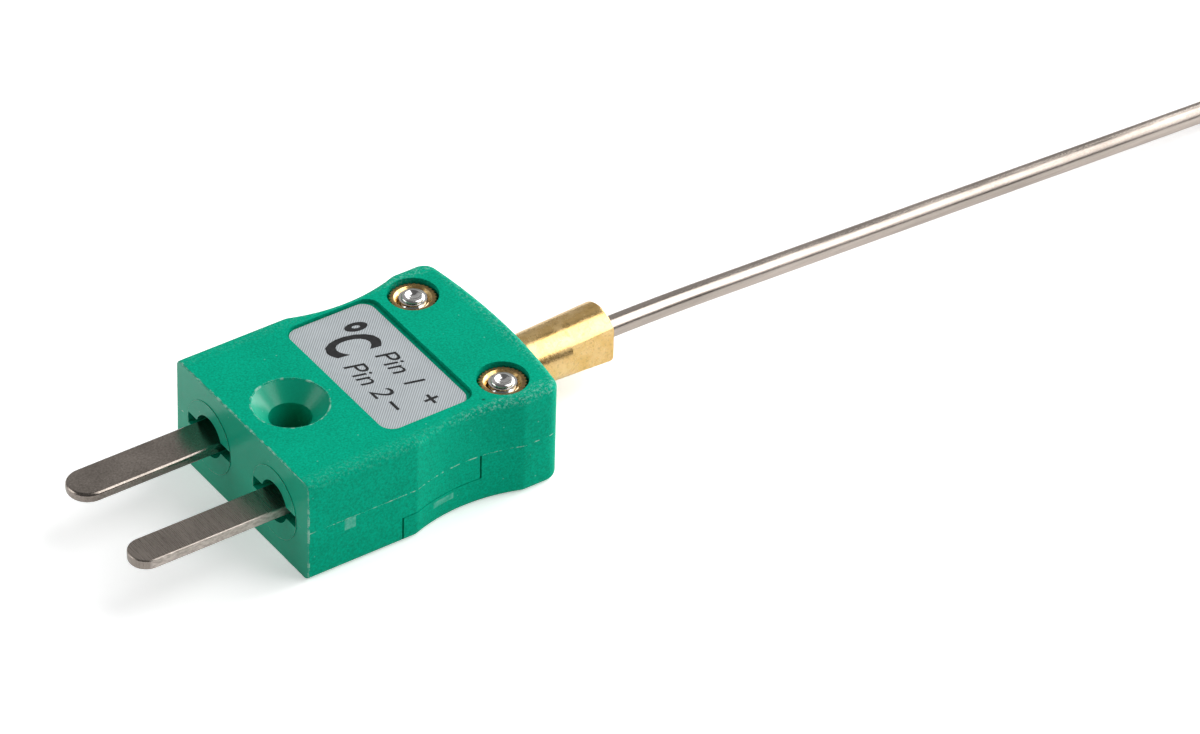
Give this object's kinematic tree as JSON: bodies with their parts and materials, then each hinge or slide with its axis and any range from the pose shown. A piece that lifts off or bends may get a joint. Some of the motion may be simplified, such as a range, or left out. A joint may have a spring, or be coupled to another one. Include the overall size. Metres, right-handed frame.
{
  "type": "thermocouple probe",
  "caption": "Mineral-insulated thermocouple probe: slim metal sheath crimped into a miniature flat-pin plug with a screwed rear cap, blades and a fixing hole.",
  "frame": {"origin": "middle of the plug's mating face, half-way between the two blades and half-way up the plug", "axes": "+X from the mating face towards the probe tip, +Z towards the labelled side, +Y towards the negative blade"},
  "size_m": [0.1892, 0.016, 0.0078],
  "materials": {
    "green_plastic": "fine spark-eroded satin, glass-filled thermoplastic",
    "label_foil": "satin printed polyester",
    "blade_dark_alloy": "tumbled, dark",
    "blade_brushed_alloy": "fine cross brushing",
    "brass": "turned",
    "screw_steel": "bright zinc",
    "sheath_steel": "satin drawn",
    "mineral": "packed powder",
    "resin": "cast",
    "wire_alloy": "drawn wire",
    "tubing": "smooth"
  },
  "bodies": {
    "root": {"body_moulding": "green_plastic", "rating_label": "label_foil", "blade_negative": "blade_dark_alloy", "blade_positive": "blade_brushed_alloy", "insert_left": "brass", "insert_right": "brass", "crimp_sleeve": "brass", "clamp_plate_negative": "screw_steel", "clamp_plate_positive": "screw_steel", "sheath_tube": "sheath_steel", "insulation_core": "mineral", "hot_junction": "wire_alloy", "sheath_seal": "resin", "conductor_negative": "wire_alloy", "conductor_positive": "wire_alloy", "wire_sleeve_negative": "tubing", "wire_sleeve_positive": "tubing"},
    "cap": {"rear_cap": "green_plastic"},
    "cap_screw_left": {"cap_screw_left": "screw_steel"},
    "cap_screw_right": {"cap_screw_right": "screw_steel"},
    "terminal_screw_negative": {"terminal_screw_negative": "screw_steel"},
    "terminal_screw_positive": {"terminal_screw_positive": "screw_steel"}
  },
  "joints": [
    {"name": "cap_lift", "type": "slide", "parent": "root", "child": "cap", "axis": [0, 0, -1], "range_m": [0, 0.01]},
    {"name": "cap_screw_left_turn", "type": "hinge", "parent": "cap", "child": "cap_screw_left", "pos_m": [0.01676, 0.00532, -0.003], "axis": [0, 0, 1], "continuous": true},
    {"name": "cap_screw_right_turn", "type": "hinge", "parent": "cap", "child": "cap_screw_right", "pos_m": [0.01676, -0.00532, -0.003], "axis": [0, 0, 1], "continuous": true},
    {"name": "terminal_screw_negative_turn", "type": "hinge", "parent": "root", "child": "terminal_screw_negative", "pos_m": [0.0105, 0.00396, -0.001], "axis": [0, 0, 1], "continuous": true},
    {"name": "terminal_screw_positive_turn", "type": "hinge", "parent": "root", "child": "terminal_screw_positive", "pos_m": [0.0105, -0.00396, -0.001], "axis": [0, 0, 1], "continuous": true}
  ]
}
